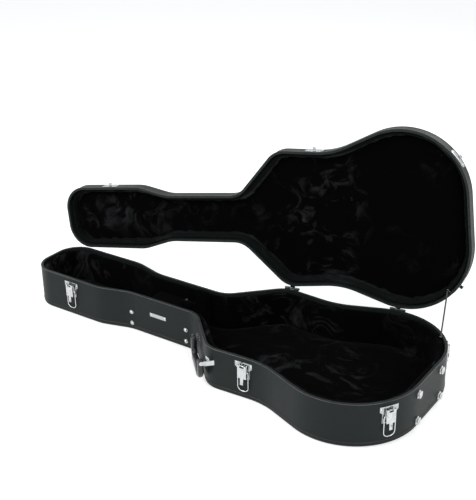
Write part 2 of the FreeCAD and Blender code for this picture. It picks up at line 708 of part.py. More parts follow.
rivets("latch_rivets", latch_spots)
rivets("catch_rivets", catch_spots, lid_open)

# ---------------------------------------------------------------- hinges
knuckle_end = "(1.5 * knuckle_length + knuckle_gap)"
knuckle_start = "(0.5 * knuckle_length + knuckle_gap)"
BASE_KNUCKLES = [("-" + knuckle_end, "-" + knuckle_start), (knuckle_start, knuckle_end)]
LID_KNUCKLES = [("-knuckle_length / 2", "knuckle_length / 2")]


# Blocks that stand on the wall start this far inside it and are cut back to its face.
inside_wall = "-4 * hinge_standoff"


def hinge_leaf(name, frame, gap, knuckles, up):
    """A leaf on the wall with its knuckles; up is 1 for the lid and -1 for the base."""
    def heights(near, far):
        return (near, far) if up > 0 else ("-(%s)" % far, "-(%s)" % near)
    low, high = heights("leaf_relief", "leaf_height")
    outline = [("-leaf_half", low), ("leaf_half", low), ("leaf_half", high), ("-leaf_half", high)]
    window = plate(name + "_window", frame, outline, inside_wall, "0")
    pieces = [common(name + "_sheet", [metal_skin, window])]
    skin = "metal_gap + metal_thickness - %r" % gap
    for index, (start, stop) in enumerate(knuckles):
        barrel = rod("%s_barrel_%d" % (name, index), frame, "knuckle_radius", (start, "0", "0"),
                     "(%s) - (%s)" % (stop, start))
        riser = box("%s_riser_%d" % (name, index), frame, (start, stop),
                    (inside_wall, skin), heights("2 * knuckle_gap", "leaf_relief + 2"))
        web = box("%s_web_%d" % (name, index), frame, (start, stop),
                  (inside_wall, "0"), heights("2 * knuckle_gap", "knuckle_radius"))
        pieces += [barrel, cut("%s_root_%d" % (name, index), fuse("%s_bars_%d" % (name, index),
                                                                [riser, web]), case_body)]
    clearance = "pin_clearance" if up > 0 else "metal_gap"
    bore = rod(name + "_bore", frame, "hinge_pin_radius + " + clearance,
               ("-2 * knuckle_length", "0", "0"), "4 * knuckle_length")
    return cut(name, fuse(name + "_solid", pieces), bore)


leaf_spots = {-1: [], 1: []}
for k, (frame, gap) in enumerate(zip(hinge_line, hinge_gaps), 1):
    keep(hinge_leaf("base_hinge_leaf_%d" % k, frame, gap, BASE_KNUCKLES, -1), "base_hinge_leaf_%d" % k)
    keep(hinge_leaf("lid_hinge_leaf_%d" % k, frame, gap, LID_KNUCKLES, 1), "lid_hinge_leaf_%d" % k,
         lid_open)
    shank = rod("pin_shank_%d" % k, frame, "hinge_pin_radius", ("-" + knuckle_end, "0", "0"),
                "2 * " + knuckle_end)
    heads = [rod("pin_head_%d_%d" % (k, index), frame, "hinge_head_radius", (start, "0", "0"),
                 "hinge_head_length")
             for index, start in enumerate(("-%s - hinge_head_length - metal_gap" % knuckle_end,
                                            knuckle_end + " + metal_gap"))]
    stubs = [rod("pin_stub_%d_%d" % (k, index), frame, "hinge_pin_radius", (start, "0", "0"),
                 "hinge_head_length")
             for index, start in enumerate(("-%s - hinge_head_length" % knuckle_end, knuckle_end))]
    keep(fuse("hinge_pin_%d" % k, [shank] + heads + stubs), "hinge_pin_%d" % k)

hinge_places = [place_on(index, hinge_angle) for index in (LOWER_BOUT, UPPER_BOUT)]
for place in hinge_places:
    inboard = size("leaf_half") - 2 * size("rivet_radius")
    for shift in (-inboard, inboard):
        for depth in (size("leaf_relief") + 2 * size("rivet_radius"),
                      size("leaf_height") - 2 * size("rivet_radius")):
            leaf_spots[-1].append((1, place + shift, size("base_depth") - depth))
            leaf_spots[1].append((1, place + shift, size("base_depth") + depth))
rivets("base_hinge_rivets", leaf_spots[-1])
rivets("lid_hinge_rivets", leaf_spots[1], lid_open)

# ---------------------------------------------------------------- handle
shoulder_angle = turns()[3]
slope_place = place_on(UPPER_BOUT, shoulder_angle)
handle_frame = wall_frame(-1, slope_place + size("handle_centre"), size("handle_height"),
                          size("handle_standoff"))
hanging = handle_frame.multiply(Placement(Vector(), Rotation(Vector(1, 0, 0), -90)))
tell("handle_swing", handle_frame.Base, handle_frame.Rotation.multVec(Vector(1, 0, 0)))


def strap_path(name):
    """The handle's centre line, drawn standing straight out from the wall."""
    half, reach, heel = size("handle_half"), size("handle_reach"), -size("handle_heel")
    corners = [(-half, 0, heel), (-half, 0, reach), (half, 0, reach), (half, 0, heel)]
    wire = rounded_path(corners, [size("handle_bend")] * 2, 0)
    wire.rotate(Vector(), Vector(1, 0, 0), -90)
    path = new("Part::Feature", name)
    path.Shape = wire
    return path


def strap(name):
    """The handle's strap: an oval section carried along its centre line."""
    path = strap_path(name + "_path")
    section = new("Part::Ellipse", name + "_section")
    bound(section, MajorRadius="handle_leg_half", MinorRadius="handle_thick_half")
    section.Placement = Placement(Vector(-size("handle_half"), -size("handle_heel"), 0),
                                  Rotation(Vector(1, 0, 0), -90))
    sweep = new("Part::Sweep", name)
    sweep.Sections = [section]
    sweep.Spine = (path, ["Edge%d" % (i + 1) for i in range(len(path.Shape.Edges))])
    sweep.Solid = True
    return sweep


pin_reach = "handle_half + handle_leg_half - handle_pin_depth"
bores = [rod("handle_bore_%d" % index, world, "handle_pin_radius + pin_clearance",
             (start, "0", "0"), "handle_pin_depth + bracket_gap")
         for index, start in enumerate(("-(handle_half + handle_leg_half + bracket_gap)", pin_reach))]
keep(cut("handle_strap", strap("strap"), fuse("handle_bores", bores)), "handle_strap", hanging)

sections = []
for index, share in enumerate((-1, -0.55, 0, 0.55, 1)):
    swell = "%g * grip_swell" % (1 - share * share)
    section = new("Part::Ellipse", "grip_section_%d" % index)
    bound(section, MajorRadius="handle_leg_half + grip_extra + (%s) / 2" % swell,
          MinorRadius="handle_thick_half + grip_extra")
    section.Placement = Placement(
        Vector(share * size("grip_half"), number("handle_reach - (%s) / 2" % swell), 0),
        Rotation(Vector(0, 0, 1), 90).multiply(Rotation(Vector(1, 0, 0), 90)))
    sections.append(section)
loft = new("Part::Loft", "grip_loft")
loft.Sections = sections
loft.Solid = True
keep(cut("handle_grip", loft, strap("grip_core")), "handle_grip", hanging)

bracket_spots = []
for k, sign in ((1, -1), (2, 1)):
    inner = "(handle_half + handle_leg_half + bracket_gap)"
    edge = (inner, inner + " + bracket_sheet")
    across_x = edge if sign > 0 else ("-(%s)" % edge[1], "-" + edge[0])
    reach_x = ("%s - bracket_foot" % inner, edge[1])
    window_x = reach_x if sign > 0 else ("-(%s)" % reach_x[1], "-(%s)" % reach_x[0])
    deep = "-4 * handle_standoff"  # well inside the wall; the arms are cut back to its face
    cheek = box("bracket_cheek_%d" % k, handle_frame, across_x, (deep, "0"),
                ("-bracket_eye", "bracket_eye"))
    root = box("bracket_root_%d" % k, handle_frame, across_x, (deep, "-handle_standoff / 2"),
               ("-bracket_half", "bracket_half"))
    eye = rod("bracket_eye_%d" % k, handle_frame, "bracket_eye", (across_x[0], "0", "0"),
              "bracket_sheet")
    start = "-(%s)" % edge[1] if sign < 0 else pin_reach + " + 2 * bracket_gap"
    pin = rod("bracket_pin_%d" % k, handle_frame, "handle_pin_radius", (start, "0", "0"),
              "bracket_sheet + bracket_gap + handle_pin_depth - 2 * bracket_gap")
    window = box("bracket_window_%d" % k, handle_frame, window_x, (deep, "-handle_standoff / 2"),
                 ("-bracket_half", "bracket_half"))
    sheet_piece = common("bracket_foot_%d" % k, [metal_skin, window])
    standing = cut("bracket_arm_%d" % k, fuse("bracket_arms_%d" % k, [cheek, root, eye]), case_body)
    keep(fuse("handle_bracket_%d" % k, [sheet_piece, standing, pin]), "handle_bracket_%d" % k)

foot_middle = size("handle_half") + size("handle_leg_half") - size("bracket_foot") / 2
upper_place = slope_place + size("handle_centre") + foot_middle
overhang = foot_middle - size("handle_centre")
lower_place = slope_place - size("upper_bout_radius") * math.asin(overhang / size("upper_bout_radius"))
for place in (lower_place, upper_place):
    for shift in (-size("bracket_rivet_shift"), size("bracket_rivet_shift")):
        bracket_spots.append((-1, place + shift, size("handle_height")))
rivets("handle_rivets", bracket_spots)


# ---------------------------------------------------------------- feet, studs and plate
def button(name, frame, radius, height):
    """A domed metal button with a thin flange, seated on the wall."""
    flange = rod(name + "_flange", frame, radius, ("0", "stud_gap", "0"), "metal_thickness", "y")
    top = dome(name + "_dome", frame.multiply(
        Placement(Vector(0, number("stud_gap + metal_thickness"), 0), Rotation())),
        "%s - metal_thickness" % radius, "%s - metal_thickness" % height)
    return fuse(name, [flange, top])


def foot(name, frame):
    """A metal foot: a washer on the wall, a narrow neck and a domed head to stand the case on."""
    pieces = [rod(name + "_washer", frame, "foot_washer_radius", ("0", "stud_gap", "0"),
                  "metal_thickness", "y"),
              rod(name + "_neck", frame, "foot_neck_radius", ("0", "stud_gap", "0"),
                  "foot_neck_height", "y"),
              rod(name + "_head", frame, "foot_head_radius", ("0", "foot_neck_height", "0"),
                  "foot_rim", "y")]
    crown = frame.multiply(Placement(Vector(0, number("foot_neck_height + foot_rim"), 0), Rotation()))
    pieces.append(dome(name + "_dome", crown, "(foot_head_radius - metal_thickness / 2)",
                       "(foot_height - foot_neck_height - foot_rim)"))
    return fuse(name, pieces)


feet = [foot("foot_%d_%s" % (side + 2, level), wall_frame(side, size("foot_spread"), size(level)))
        for side in (-1, 1) for level in ("foot_low", "foot_high")]
keep(group("end_feet", feet), "end_feet")
studs = [button("%s_%s" % (place, level), wall_frame(-1, size(place), size(level)),
                "stud_radius", "stud_height")
         for place in ("shoulder_stud_place", "neck_stud_place") for level in ("stud_low", "stud_high")]
keep(group("neck_studs", studs), "neck_studs")
plate_frame = wall_frame(-1, size("plate_place"), size("plate_height"))
keep(box("blank_plate", plate_frame, ("-plate_half", "plate_half"),
         ("metal_gap", "metal_gap + metal_thickness"), ("-plate_half_height", "plate_half_height")),
     "name_plate")
rivets("plate_rivets", [(-1, size("plate_place") + shift, size("plate_height"))
                        for shift in (-size("plate_half") + 1.5 * size("rivet_radius"),
                                      size("plate_half") - 1.5 * size("rivet_radius"))])

# ---------------------------------------------------------------- lid stay
base_boss = wall_frame(1, size("base_stay_place"),
                       number("base_depth - base_pad_drop + seat_gap"), -size("base_stay_inset"))
lid_boss = wall_frame(1, size("lid_stay_place"), number("base_depth + lid_stay_height"),
                      -number("wall_thickness + seat_gap"))
boss_ball = new("Part::Sphere", "base_boss_ball")
bound(boss_ball, Radius="stay_boss_radius")
boss_ball.Placement = base_boss.multiply(Placement(Vector(0, 0, size("stay_boss_length")), Rotation()))
keep(fuse("base_boss", [rod("base_boss_stem", base_boss, "stay_stem_radius", ("0", "0", "0"),
                            "stay_boss_length", "z"), boss_ball]), "base_stay_boss")
lid_ball = new("Part::Sphere", "lid_boss_ball")
bound(lid_ball, Radius="stay_boss_radius")
lid_ball.Placement = lid_boss.multiply(Placement(Vector(0, -size("lid_stay_reach"), 0), Rotation()))
keep(fuse("lid_boss", [rod("lid_boss_stem", lid_boss, "stay_stem_radius",
                           ("0", "-lid_stay_reach", "0"), "lid_stay_reach", "y"), lid_ball]),
     "lid_stay_boss", lid_open)
stay_start = base_boss.multVec(Vector(0, 0, size("stay_boss_length")))
stay_stop = lid_open.multiply(lid_boss).multVec(Vector(0, -size("lid_stay_reach"), 0))
stay_line = stay_stop - stay_start
ease = size("stay_boss_radius") + size("seat_gap") / 2
along = Vector(stay_line).normalize()
cord = new("Part::Cylinder", "stay_cord")
bound(cord, Radius="stay_radius")
cord.Height = stay_line.Length - 2 * ease
cord.Placement = Placement(stay_start + along * ease, Rotation(Vector(0, 0, 1), along))
keep(cord, "lid_stay")
print("stay from", stay_start, "to", stay_stop, "length", stay_line.Length)

# ---------------------------------------------------------------- checks and export
doc.recompute()
for item in doc.Objects:
    if "Invalid" in item.State or "Error" in item.State:
        raise RuntimeError("%s did not build: %s" % (item.Name, item.State))
for label, item in nodes.items():
    shape = item.Shape
    if shape.isNull() or not shape.isValid() or not shape.Solids:
        raise RuntimeError("%s has no valid solid" % label)
for label, item in nodes.items():
    item.Shape.exportStep("parts/%s.step" % label)
    print("%-24s %2d solids %12.1f mm3" % (label, len(item.Shape.Solids), item.Shape.Volume))
print(len(nodes), "nodes")
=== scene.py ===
import json
import math

import bmesh
import bpy
import numpy as np
from mathutils import Matrix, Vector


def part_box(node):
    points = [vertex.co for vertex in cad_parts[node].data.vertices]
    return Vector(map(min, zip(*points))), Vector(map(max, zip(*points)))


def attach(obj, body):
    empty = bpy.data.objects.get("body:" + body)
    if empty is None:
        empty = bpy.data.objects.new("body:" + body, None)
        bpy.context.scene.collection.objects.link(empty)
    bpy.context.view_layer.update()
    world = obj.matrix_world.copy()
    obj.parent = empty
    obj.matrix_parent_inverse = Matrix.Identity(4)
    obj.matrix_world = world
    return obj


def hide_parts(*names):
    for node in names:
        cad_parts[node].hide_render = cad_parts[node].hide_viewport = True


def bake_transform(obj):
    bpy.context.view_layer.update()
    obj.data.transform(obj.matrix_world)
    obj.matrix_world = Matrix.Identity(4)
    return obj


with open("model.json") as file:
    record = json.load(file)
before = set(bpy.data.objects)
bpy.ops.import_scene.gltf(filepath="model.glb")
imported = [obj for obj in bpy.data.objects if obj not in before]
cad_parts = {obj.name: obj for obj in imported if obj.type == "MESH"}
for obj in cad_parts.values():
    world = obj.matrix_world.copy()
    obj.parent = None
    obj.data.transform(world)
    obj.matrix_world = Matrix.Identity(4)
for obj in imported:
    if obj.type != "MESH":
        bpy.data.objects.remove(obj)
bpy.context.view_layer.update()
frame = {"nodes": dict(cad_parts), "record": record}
MM = 0.001
nodes = frame["nodes"]

# ------------------------------------------------------------------ shell of the base and the lid
# Bent plywood walls and two panels, glued up and covered in black pebble-grained vinyl.
# The fitted walls and panels keep their shape; this section makes their vinyl, and the
# outline that every welt and row of stitches follows.
CASE_LENGTH = 1106.0
BASE_DEPTH = 106.0
LID_TOP = 148.0
PANEL_RIM = 12.0
SEAM_GAP = 0.4
# Round stretches of the outline: station from the wide end, centre offset, signed radius (mm).
BENDS = [(159, 58, 159), (351, 347, -180), (444, 112, 60), (604, 121, -60),
         (771, 181, -120), (886, -36, 120), (1044, 22, 62)]
BEND_POINTS = 60


def tangent_angle(first, second):
    """Normal direction of the line touching two bends: bearing of the centres plus acos(dr / distance)."""
    along, across = second[0] - first[0], second[1] - first[1]
    return math.atan2(across, along) + math.acos((first[2] - second[2]) / math.hypot(along, across))


def case_loop(step):
    """Points and outward normals of the closed outline, evenly spaced, in mm.

    Each bend gives centre + radius * (cos a, sin a) between the tangent directions of its
    neighbours; straight runs join them, and the second half mirrors the first.
    """
    turns = [math.pi] + [tangent_angle(a, b) for a, b in zip(BENDS, BENDS[1:])] + [0.0]
    rows = [np.array([[0.0, 0.0, math.pi]])]
    for (station, across, radius), start, stop in zip(BENDS, turns, turns[1:]):
        angle = np.linspace(start, stop, BEND_POINTS)
        rows.append(np.c_[station + radius * np.cos(angle), across + radius * np.sin(angle), angle])
    rows.append(np.array([[CASE_LENGTH, 0.0, 0.0]]))
    half = np.vstack(rows)
    x, y, angle = half.T
    near = np.c_[CASE_LENGTH / 2 - x, -y, -np.cos(angle), -np.sin(angle)]
    far = np.c_[CASE_LENGTH / 2 - x, y, -np.cos(angle), np.sin(angle)][::-1]
    loop = np.vstack([near, far[1:]])
    walked = np.r_[0, np.cumsum(np.hypot(*np.diff(loop[:, :2], axis=0).T))]
    count = int(round(walked[-1] / step))
    distance = np.arange(count) * walked[-1] / count
    even = np.column_stack([np.interp(distance, walked, column) for column in loop.T])
    normal = even[:, 2:] / np.linalg.norm(even[:, 2:], axis=1, keepdims=True)
    return even[:, :2], normal


JOINTS = {joint["name"]: joint for joint in frame["record"]["behaviour"]["joints"]}
LID_JOINT = JOINTS["lid_swing"]
LID_TURN = (Matrix.Translation(LID_JOINT["pos_m"])
            @ Matrix.Rotation(math.radians(-LID_JOINT["range_deg"][0]), 4, LID_JOINT["axis"])
            @ Matrix.Translation([-v for v in LID_JOINT["pos_m"]]))


def opened(points):
    """Points drawn on the closed lid, in metres, turned with it to where it stands open."""
    turn = np.array(LID_TURN)
    return points @ turn[:3, :3].T + turn[:3, 3]


def link(name, mesh, material, body):
    """An object at the origin that wears a material and rides on a body, if one is named."""
    piece = bpy.data.objects.new(name, mesh)
    bpy.context.scene.collection.objects.link(piece)
    mesh.materials.append(material)
    if body:
        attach(piece, body)
    return piece


def surface(name, grid, material, body, close_rows=True, close_cols=True, cap=False):
    """A grid of points, rows by columns, as quads with a UV map of distances along it; the last
    row or column may join the first, and cap closes the first and last rows."""
    rows, cols = grid.shape[:2]
    index = np.arange(rows * cols).reshape(rows, cols)
    down = np.roll(index, -1, 0) if close_rows else index[1:]
    here = index if close_rows else index[:-1]
    beside = [np.roll(block, -1, 1) if close_cols else block[:, 1:] for block in (here, down)]
    if not close_cols:
        here, down = here[:, :-1], down[:, :-1]
    faces = np.stack([here, *beside, down], -1).reshape(-1, 4).tolist()
    if cap:
        faces += [index[0].tolist()[::-1], index[-1].tolist()]
    mesh = bpy.data.meshes.new(name)
    mesh.from_pydata(grid.reshape(-1, 3).tolist(), [], faces)
    if close_rows or cap:
        shape = bmesh.new()
        shape.from_mesh(mesh)
        bmesh.ops.recalc_face_normals(shape, faces=shape.faces)
        shape.to_mesh(mesh)
        shape.free()
    mesh.polygons.foreach_set("use_smooth", np.ones(len(mesh.polygons), bool))
    uv = mesh.uv_layers.new(name="along")
    ends = np.zeros(len(mesh.loops), int)
    mesh.loops.foreach_get("vertex_index", ends)
    across = np.r_[0, np.cumsum(np.linalg.norm(np.diff(grid[:, 0], axis=0), axis=1))]
    along = np.r_[0, np.cumsum(np.linalg.norm(np.diff(grid[0], axis=0), axis=1))]
    place = np.column_stack([along[ends % cols], across[ends // cols]])
    uv.data.foreach_set("uv", place.ravel())
    return link(name, mesh, material, body)


def carried(profile, step=4.0, lid=False):
    """A profile of (outwards, height) in mm carried round the outline, as a grid in metres."""
    point, normal = case_loop(step)
    out, height = np.asarray(profile, float).T
    plan = point[None] + normal[None] * out[:, None, None]
    grid = np.concatenate([plan, np.broadcast_to(height[:, None, None], plan.shape[:2] + (1,))], 2) * MM
    return opened(grid.reshape(-1, 3)).reshape(grid.shape) if lid else grid


def bead(out, height, radius, sides=10):
    """A round profile about (out, height)."""
    angle = np.linspace(0, 2 * np.pi, sides, endpoint=False)
    return np.c_[out + radius * np.cos(angle), height + radius * np.sin(angle)]


# The vinyl and every later finish are made with these.
def wire(tree, source, target):
    """Join two sockets."""
    tree.links.new(source, target)


def finish_of(name, colour, roughness, metallic=0.0, **constant):
    """A Principled material with its plain values set on the shader's own sockets."""
    material = bpy.data.materials.new(name)
    material.use_nodes = True
    tree = material.node_tree
    shader = tree.nodes["Principled BSDF"]
    shader.inputs["Base Color"].default_value = (*colour, 1)
    shader.inputs["Roughness"].default_value = roughness
    shader.inputs["Metallic"].default_value = metallic
    for socket, value in constant.items():
        shader.inputs[socket.replace("_", " ")].default_value = value
    material.diffuse_color = (*colour, 1)
    return material, tree, shader


def node_of(tree, kind, **values):
    """A node with its settings and socket values given by name."""
    node = tree.nodes.new(kind)
    for key, value in values.items():
        if hasattr(node, key):
            setattr(node, key, value)
        else:
            node.inputs[key.replace("_", " ")].default_value = value
    return node


def math_of(tree, operation, first, second=None, third=None):
    """A Math node fed by numbers or sockets."""
    node = tree.nodes.new("ShaderNodeMath")
    node.operation = operation
    for socket, value in zip(node.inputs, (first, second, third)):
        if isinstance(value, (int, float)):
            socket.default_value = value
        elif value is not None:
            wire(tree, value, socket)
    return node.outputs[0]


def blend_of(tree, factor, first, second):
    """A colour between two colours."""
    node = tree.nodes.new("ShaderNodeMix")
    node.data_type = "RGBA"
    for socket, value in zip((node.inputs[0], node.inputs[6], node.inputs[7]), (factor, first, second)):
        if isinstance(value, (tuple, list)):
            socket.default_value = (*value, 1)
        elif isinstance(value, (int, float)):
            socket.default_value = value
        else:
            wire(tree, value, socket)
    return node.outputs[2]


def span_of(tree, value, low, high, new_low=0.0, new_high=1.0):
    """A value stretched from one range to another, held at its ends."""
    node = node_of(tree, "ShaderNodeMapRange")
    wire(tree, value, node.inputs[0])
    for socket, number in zip(node.inputs[1:5], (low, high, new_low, new_high)):
        socket.default_value = number
    return node.outputs[0]


def noise_of(tree, where, scale, detail=3.0, roughness=0.55, distortion=0.0):
    """Fractal noise on the object's own coordinates."""
    node = node_of(tree, "ShaderNodeTexNoise", Scale=scale, Detail=detail, Roughness=roughness,
                   Distortion=distortion)
    wire(tree, where, node.inputs["Vector"])
    return node.outputs[0]


def bump_of(tree, shader, height, strength, distance):
    """Feed a height to the shader's normal."""
    node = node_of(tree, "ShaderNodeBump", Strength=strength, Distance=distance)
    wire(tree, height, node.inputs["Height"])
    wire(tree, node.outputs[0], shader.inputs["Normal"])


def group_of(name, inputs, outputs):
    """A node group with float inputs given as name and default, and float outputs."""
    group = bpy.data.node_groups.new(name, "ShaderNodeTree")
    group.interface.new_socket("Vector", in_out="INPUT", socket_type="NodeSocketVector")
    for label, value in inputs:
        socket = group.interface.new_socket(label, in_out="INPUT", socket_type="NodeSocketFloat")
        socket.default_value = value
    for label in outputs:
        group.interface.new_socket(label, in_out="OUTPUT", socket_type="NodeSocketFloat")
    return group, group.nodes.new("NodeGroupInput"), group.nodes.new("NodeGroupOutput")


def placed(tree, group, where, **values):
    """A group's node, fed with coordinates and its own values."""
    node = tree.nodes.new("ShaderNodeGroup")
    node.node_tree = group
    wire(tree, where, node.inputs["Vector"])
    for key, value in values.items():
        node.inputs[key.replace("_", " ")].default_value = value
    return node.outputs


def object_place(tree):
    """The piece's own coordinates, in metres."""
    return tree.nodes.new("ShaderNodeTexCoord").outputs["Object"]


# Pebble grain: rounded cells with creases between them, broken by finer noise.
grain, grain_in, grain_out = group_of("pebble_grain", [("Scale", 600.0), ("Unevenness", 0.35)],
                                      ["Height", "Crease"])
cells = node_of(grain, "ShaderNodeTexVoronoi", feature="SMOOTH_F1")
cells.inputs["Smoothness"].default_value = 0.35
wire(grain, grain_in.outputs["Vector"], cells.inputs["Vector"])
wire(grain, grain_in.outputs["Scale"], cells.inputs["Scale"])
fine = node_of(grain, "ShaderNodeTexNoise", Detail=3.0)
wire(grain, grain_in.outputs["Vector"], fine.inputs["Vector"])
wire(grain, grain_in.outputs["Scale"], fine.inputs["Scale"])
pebble = math_of(grain, "SUBTRACT", 1.0, cells.outputs["Distance"])
uneven = math_of(grain, "MULTIPLY", fine.outputs[0], grain_in.outputs["Unevenness"])
wire(grain, math_of(grain, "ADD", pebble, uneven), grain_out.inputs["Height"])
wire(grain, span_of(grain, cells.outputs["Distance"], 0.45, 0.85), grain_out.inputs["Crease"])

# Dust and scuffs: soft patches and a few short strokes that dull a surface.
scuffs, scuffs_in, scuffs_out = group_of("scuffs", [("Scale", 14.0), ("Amount", 0.5)], ["Mask"])
patch = node_of(scuffs, "ShaderNodeTexNoise", Detail=6.0, Roughness=0.65, Distortion=0.6)
wire(scuffs, scuffs_in.outputs["Vector"], patch.inputs["Vector"])
wire(scuffs, scuffs_in.outputs["Scale"], patch.inputs["Scale"])
strokes = node_of(scuffs, "ShaderNodeTexWave", Scale=40.0, Distortion=22.0, Detail=4.0)
wire(scuffs, scuffs_in.outputs["Vector"], strokes.inputs["Vector"])
sparse = span_of(scuffs, strokes.outputs["Fac"], 0.93, 1.0)
soft = span_of(scuffs, patch.outputs[0], 0.45, 0.75)
both = math_of(scuffs, "ADD", soft, math_of(scuffs, "MULTIPLY", sparse, soft))
wire(scuffs, math_of(scuffs, "MULTIPLY", both, scuffs_in.outputs["Amount"]), scuffs_out.inputs["Mask"])

VINYL = (0.0078, 0.0122, 0.0114)
VINYL_CREASE_SHADE = tuple(0.5 * value for value in VINYL)
# One paler colour for the dust and scuffs and for the painted edge highlight.
VINYL_DUST_AND_HIGHLIGHT = (0.03, 0.036, 0.035)


def vinyl(name, edges, lid=False):
    """Black grained vinyl, painted paler along the edges at the given heights (mm) as a painted edge
    highlight with rubbed wear, and with painted shade in the grain's creases.
    """
    material, tree, shader = finish_of(name, VINYL, 0.46, Specular_IOR_Level=0.19)
    where = object_place(tree)
    flat = where
    if lid:
        back = LID_TURN.inverted()
        turn = node_of(tree, "ShaderNodeMapping", vector_type="POINT")
        turn.inputs["Location"].default_value = back.translation
        turn.inputs["Rotation"].default_value = back.to_euler()
        wire(tree, where, turn.inputs["Vector"])
        flat = turn.outputs[0]
    pebbles = placed(tree, grain, where, Scale=620.0, Unevenness=0.4)
    worn = placed(tree, scuffs, where, Scale=9.0, Amount=0.35)["Mask"]
    split = tree.nodes.new("ShaderNodeSeparateXYZ")
    wire(tree, flat, split.inputs[0])
    # Painted highlight with rubbed wear: the vinyl is painted paler in bands along the rims, the panel
    # joints and the outer edges.
    edge_highlight_and_rub = None
    for height, reach in edges:
        gap = math_of(tree, "ABSOLUTE", math_of(tree, "SUBTRACT", split.outputs[2], height * MM))
        near = span_of(tree, gap, 0.0, reach * MM, 1.0, 0.0)
        edge_highlight_and_rub = near if edge_highlight_and_rub is None else math_of(tree, "MAXIMUM", edge_highlight_and_rub, near)
    patchy = span_of(tree, noise_of(tree, where, 90.0, 5.0), 0.35, 0.65, 0.25, 1.0)
    edge_highlight_and_rub = math_of(tree, "MULTIPLY", edge_highlight_and_rub, patchy)
    # Painted shade: the creases between the grain's pebbles are painted at half the vinyl's colour.
    base = blend_of(tree, math_of(tree, "MULTIPLY", pebbles["Crease"], 0.5), VINYL, VINYL_CREASE_SHADE)
    dusty = blend_of(tree, math_of(tree, "MULTIPLY", worn, 0.35), base, VINYL_DUST_AND_HIGHLIGHT)
    wire(tree, blend_of(tree, math_of(tree, "MULTIPLY", edge_highlight_and_rub, 0.55), dusty, VINYL_DUST_AND_HIGHLIGHT),
         shader.inputs["Base Color"])
    rough = math_of(tree, "MULTIPLY_ADD", worn, 0.16, 0.44)
    wire(tree, math_of(tree, "MULTIPLY_ADD", pebbles["Crease"], 0.12, rough), shader.inputs["Roughness"])
    bump_of(tree, shader, pebbles["Height"], 0.32, 0.0004)
    return material


# Reach (mm) of the painted edge highlight with rubbed wear at the meeting rims and at the panel joints.
RIM_HIGHLIGHT_AND_RUB, JOINT_HIGHLIGHT_AND_RUB = 1.6, 1.0
base_vinyl = vinyl("base_vinyl", [(BASE_DEPTH, RIM_HIGHLIGHT_AND_RUB), (PANEL_RIM, JOINT_HIGHLIGHT_AND_RUB), (3.0, 4.0)])
lid_vinyl = vinyl("lid_vinyl", [(BASE_DEPTH, RIM_HIGHLIGHT_AND_RUB), (LID_TOP - PANEL_RIM, JOINT_HIGHLIGHT_AND_RUB),
                                (LID_TOP - 4.0, 5.0)], lid=True)


def dress(material, *names):
    """Give fitted pieces a finish."""
    for name in names:
        mesh = nodes[name].data
        mesh.materials.clear()
        mesh.materials.append(material)


dress(base_vinyl, "base_panel", "base_wall")
dress(lid_vinyl, "lid_panel", "lid_wall")

# ------------------------------------------------------------------ bindings and stitching
# Narrow vinyl welts cover the joint between wall and panel and the two meeting rims;
# a row of waxed thread holds the panel's turned edge.
welt, tree, shader = finish_of("welt_vinyl", (0.008, 0.009, 0.0095), 0.38, Specular_IOR_Level=0.5)
where = object_place(tree)
bump_of(tree, shader, noise_of(tree, where, 900.0, 3.0), 0.25, 0.0002)
wire(tree, span_of(tree, noise_of(tree, where, 60.0, 4.0), 0.3, 0.7, 0.3, 0.5), shader.inputs["Roughness"])
# Painted highlight: the welts on the meeting rims are coloured pale grey where the rim's edge catches
# light.
rim_welt_highlight, tree, shader = finish_of("rim_welt_vinyl_painted_highlight", (0.055, 0.06, 0.062), 0.34, Specular_IOR_Level=0.55)
where = object_place(tree)
wire(tree, blend_of(tree, span_of(tree, noise_of(tree, where, 45.0, 5.0), 0.35, 0.65), (0.035, 0.038, 0.04),
                    (0.09, 0.096, 0.1)), shader.inputs["Base Color"])
bump_of(tree, shader, noise_of(tree, where, 700.0, 3.0), 0.2, 0.0002)

WELT_RADIUS = 0.8
RIM_WELT_RADIUS = 0.75
RIM_WELT_SUNK = 0.25
RIM_WELT_BACK = 1.0
base_rim = bead(-RIM_WELT_SUNK, BASE_DEPTH - RIM_WELT_BACK, RIM_WELT_RADIUS)
lid_rim = bead(-RIM_WELT_SUNK, BASE_DEPTH + SEAM_GAP + RIM_WELT_BACK, RIM_WELT_RADIUS)
surface("base_joint_welt", carried(bead(0.0, PANEL_RIM, WELT_RADIUS)), welt, "case_base")
surface("base_rim_welt", carried(base_rim), rim_welt_highlight, "case_base")
surface("lid_joint_welt", carried(bead(0.0, LID_TOP - PANEL_RIM, WELT_RADIUS), lid=True), welt, "case_lid")
surface("lid_rim_welt", carried(lid_rim, lid=True), rim_welt_highlight, "case_lid")

thread, tree, shader = finish_of("waxed_thread", (0.03, 0.031, 0.032), 0.55, Specular_IOR_Level=0.4)
where = object_place(tree)
strands = node_of(tree, "ShaderNodeTexWave", Scale=500.0)
wire(tree, where, strands.inputs["Vector"])
bump_of(tree, shader, strands.outputs["Fac"], 0.3, 0.0001)
wire(tree, blend_of(tree, noise_of(tree, where, 300.0), (0.018, 0.019, 0.02), (0.05, 0.052, 0.054)),
     shader.inputs["Base Color"])
STITCH_PITCH = 5.4
STITCH_HALF = (1.9, 0.42, 0.3)
STITCH_INSET = 13.0
STITCH_PROUD = 0.05
STITCH_SIDES, STITCH_RINGS = 10, 5


